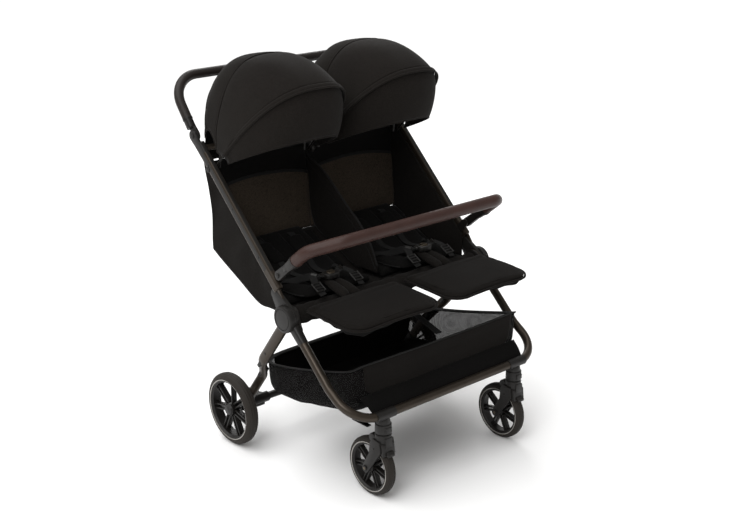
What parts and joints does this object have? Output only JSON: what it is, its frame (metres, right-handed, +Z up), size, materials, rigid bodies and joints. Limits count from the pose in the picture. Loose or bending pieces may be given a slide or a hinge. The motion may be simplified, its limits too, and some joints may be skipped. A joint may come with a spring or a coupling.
{
  "type": "twin travel stroller",
  "caption": "Side-by-side twin stroller with a folding frame, swivel front casters, reclining seats, leg rests, folding canopies, a bumper bar and a storage basket.",
  "frame": {"origin": "on the ground below the middle of the bounding box", "axes": "+Z up, -Y is the way it faces, +X is the pusher's left"},
  "size_m": [0.75, 0.8278, 1.1022],
  "materials": {
    "bronze_tube": "satin anodised",
    "dark_plastic": "matt",
    "tyre_rubber": "matt",
    "charcoal_cloth": "woven",
    "mesh_cloth": "open mesh",
    "grip_leather": "stitched",
    "brown_leather": "stitched"
  },
  "bodies": {
    "front_frame": {"front_leg_frame": "bronze_tube", "storage_basket": "charcoal_cloth", "front_strap": "charcoal_cloth", "hub_housing_left": "dark_plastic", "hub_housing_right": "dark_plastic", "caster_socket_left": "dark_plastic", "caster_socket_right": "dark_plastic"},
    "rails": {"back_cross_tube": "bronze_tube", "canopy_mount_middle": "dark_plastic", "seat_sling": "mesh_cloth", "divider_panel": "charcoal_cloth", "rail_left": "bronze_tube", "rail_right": "bronze_tube", "hub_cap_left": "dark_plastic", "hub_cap_right": "dark_plastic", "bumper_mount_left": "dark_plastic", "bumper_mount_right": "dark_plastic", "side_panel_left": "charcoal_cloth", "side_panel_right": "charcoal_cloth", "seat_pad_left": "charcoal_cloth", "seat_pad_right": "charcoal_cloth", "harness_buckle_left": "charcoal_cloth", "harness_buckle_right": "charcoal_cloth", "canopy_shell_left": "charcoal_cloth", "canopy_shell_right": "charcoal_cloth"},
    "rear_legs": {"rear_axle_tube": "bronze_tube", "rear_leg_left": "bronze_tube", "rear_leg_right": "bronze_tube"},
    "seat_front": {"seat_front_roll": "charcoal_cloth"},
    "bumper": {"bumper_bar": "brown_leather", "bumper_arm_left": "dark_plastic", "bumper_arm_right": "dark_plastic"},
    "handle": {"handle_bar": "grip_leather", "fold_latch_housing": "dark_plastic"},
    "fold_button": {"fold_button": "bronze_tube"},
    "brake": {"brake_pedal": "dark_plastic"},
    "backrest_right": {"back_pad_right": "charcoal_cloth"},
    "leg_rest_right": {"leg_rest_right": "charcoal_cloth"},
    "canopy_right": {"canopy_brim_bow_right": "dark_plastic"},
    "canopy_mid_right": {"canopy_mid_bow_right": "dark_plastic"},
    "visor_right": {"visor_right": "charcoal_cloth"},
    "caster_right": {"caster_fork_right": "dark_plastic"},
    "swivel_lock_right": {"swivel_lock_right": "dark_plastic"},
    "front_wheel_right": {"front_tyre_right": "tyre_rubber", "front_wheel_right": "dark_plastic"},
    "rear_wheel_right": {"rear_tyre_right": "tyre_rubber", "rear_wheel_right": "dark_plastic"},
    "buckle_button_right": {"buckle_button_right": "bronze_tube"},
    "backrest_left": {"back_pad_left": "charcoal_cloth"},
    "leg_rest_left": {"leg_rest_left": "charcoal_cloth"},
    "canopy_left": {"canopy_brim_bow_left": "dark_plastic"},
    "canopy_mid_left": {"canopy_mid_bow_left": "dark_plastic"},
    "visor_left": {"visor_left": "charcoal_cloth"},
    "caster_left": {"caster_fork_left": "dark_plastic"},
    "swivel_lock_left": {"swivel_lock_left": "dark_plastic"},
    "front_wheel_left": {"front_tyre_left": "tyre_rubber", "front_wheel_left": "dark_plastic"},
    "rear_wheel_left": {"rear_tyre_left": "tyre_rubber", "rear_wheel_left": "dark_plastic"},
    "buckle_button_left": {"buckle_button_left": "bronze_tube"}
  },
  "joints": [
    {"name": "frame_fold", "type": "hinge", "parent": "front_frame", "child": "rails", "pos_m": [0, -0.116, 0.464], "axis": [-1, 0, 0], "range_deg": [-135, 0], "deforming": ["storage_basket", "front_strap", "harness_buckle_left", "harness_buckle_right", "buckle_button_left", "buckle_button_right"]},
    {"name": "rear_leg_fold", "type": "hinge", "parent": "front_frame", "child": "rear_legs", "pos_m": [0, -0.116, 0.464], "axis": [1, 0, 0], "range_deg": [-52.1, 0]},
    {"name": "seat_front_swing", "type": "hinge", "parent": "front_frame", "child": "seat_front", "pos_m": [0, -0.116, 0.464], "axis": [-1, 0, 0], "range_deg": [-45.09, 0]},
    {"name": "bumper_swing", "type": "hinge", "parent": "rails", "child": "bumper", "pos_m": [0, -0.08, 0.573], "axis": [1, 0, 0], "range_deg": [-87.17, 0]},
    {"name": "push_bar_fold", "type": "hinge", "parent": "rails", "child": "handle", "pos_m": [0, 0.288, 0.881], "axis": [1, 0, 0], "range_deg": [-140, 0]},
    {"name": "fold_button_press", "type": "slide", "parent": "handle", "child": "fold_button", "axis": [0, 0.6184, 0.7859], "range_m": [0, 0.004], "stiffness_N_per_m": 300},
    {"name": "brake_pedal_press", "type": "hinge", "parent": "rear_legs", "child": "brake", "pos_m": [0, 0.153, 0.106], "axis": [-1, 0, 0], "range_deg": [0, 18]},
    {"name": "backrest_right_recline", "type": "hinge", "parent": "rails", "child": "backrest_right", "pos_m": [0, 0.034, 0.491], "axis": [1, 0, 0], "range_deg": [0, 45]},
    {"name": "leg_rest_right_drop", "type": "hinge", "parent": "seat_front", "child": "leg_rest_right", "pos_m": [0, -0.116, 0.464], "axis": [1, 0, 0], "range_deg": [0, 60], "deforming": ["storage_basket"]},
    {"name": "canopy_right_fold", "type": "hinge", "parent": "rails", "child": "canopy_right", "pos_m": [0, 0.218, 0.8], "axis": [-1, 0, 0], "range_deg": [0, 62], "deforming": ["canopy_shell_right", "visor_right"]},
    {"name": "canopy_mid_right_fold", "type": "hinge", "parent": "rails", "child": "canopy_mid_right", "pos_m": [0, 0.218, 0.8], "axis": [-1, 0, 0], "range_deg": [0, 27.96]},
    {"name": "visor_right_tuck", "type": "hinge", "parent": "canopy_right", "child": "visor_right", "pos_m": [0, 0.218, 0.8], "axis": [-1, 0, 0], "range_deg": [0, 22], "deforming": ["canopy_shell_right"]},
    {"name": "caster_right_swivel", "type": "hinge", "parent": "front_frame", "child": "caster_right", "pos_m": [-0.249, -0.374, 0.16], "axis": [0, 0, 1], "continuous": true},
    {"name": "swivel_lock_right_flip", "type": "hinge", "parent": "caster_right", "child": "swivel_lock_right", "pos_m": [-0.249, -0.397, 0.15], "axis": [1, 0, 0], "range_deg": [-25, 0]},
    {"name": "front_wheel_right_spin", "type": "hinge", "parent": "caster_right", "child": "front_wheel_right", "pos_m": [-0.249, -0.332, 0.082], "axis": [1, 0, 0], "continuous": true},
    {"name": "rear_wheel_right_spin", "type": "hinge", "parent": "rear_legs", "child": "rear_wheel_right", "pos_m": [-0.354, 0.153, 0.106], "axis": [1, 0, 0], "continuous": true},
    {"name": "buckle_button_right_press", "type": "slide", "parent": "rails", "child": "buckle_button_right", "axis": [0, 0, -1], "range_m": [0, 0.0025], "stiffness_N_per_m": 300},
    {"name": "backrest_left_recline", "type": "hinge", "parent": "rails", "child": "backrest_left", "pos_m": [0, 0.034, 0.491], "axis": [1, 0, 0], "range_deg": [0, 45]},
    {"name": "leg_rest_left_drop", "type": "hinge", "parent": "seat_front", "child": "leg_rest_left", "pos_m": [0, -0.116, 0.464], "axis": [1, 0, 0], "range_deg": [0, 60], "deforming": ["storage_basket"]},
    {"name": "canopy_left_fold", "type": "hinge", "parent": "rails", "child": "canopy_left", "pos_m": [0, 0.218, 0.8], "axis": [-1, 0, 0], "range_deg": [0, 62], "deforming": ["canopy_shell_left", "visor_left"]},
    {"name": "canopy_mid_left_fold", "type": "hinge", "parent": "rails", "child": "canopy_mid_left", "pos_m": [0, 0.218, 0.8], "axis": [-1, 0, 0], "range_deg": [0, 27.96]},
    {"name": "visor_left_tuck", "type": "hinge", "parent": "canopy_left", "child": "visor_left", "pos_m": [0, 0.218, 0.8], "axis": [-1, 0, 0], "range_deg": [0, 22], "deforming": ["canopy_shell_left"]},
    {"name": "caster_left_swivel", "type": "hinge", "parent": "front_frame", "child": "caster_left", "pos_m": [0.249, -0.374, 0.16], "axis": [0, 0, 1], "continuous": true},
    {"name": "swivel_lock_left_flip", "type": "hinge", "parent": "caster_left", "child": "swivel_lock_left", "pos_m": [0.249, -0.397, 0.15], "axis": [1, 0, 0], "range_deg": [-25, 0]},
    {"name": "front_wheel_left_spin", "type": "hinge", "parent": "caster_left", "child": "front_wheel_left", "pos_m": [0.249, -0.332, 0.082], "axis": [1, 0, 0], "continuous": true},
    {"name": "rear_wheel_left_spin", "type": "hinge", "parent": "rear_legs", "child": "rear_wheel_left", "pos_m": [0.354, 0.153, 0.106], "axis": [1, 0, 0], "continuous": true},
    {"name": "buckle_button_left_press", "type": "slide", "parent": "rails", "child": "buckle_button_left", "axis": [0, 0, -1], "range_m": [0, 0.0025], "stiffness_N_per_m": 300}
  ],
  "couplings": [
    {"joint": "rear_leg_fold", "follows": "frame_fold", "ratio": 0.38518},
    {"joint": "seat_front_swing", "follows": "frame_fold", "ratio": 0.33333},
    {"joint": "bumper_swing", "follows": "frame_fold", "ratio": 0.64444},
    {"joint": "canopy_mid_right_fold", "follows": "canopy_right_fold", "ratio": 0.45},
    {"joint": "canopy_mid_left_fold", "follows": "canopy_left_fold", "ratio": 0.45}
  ]
}
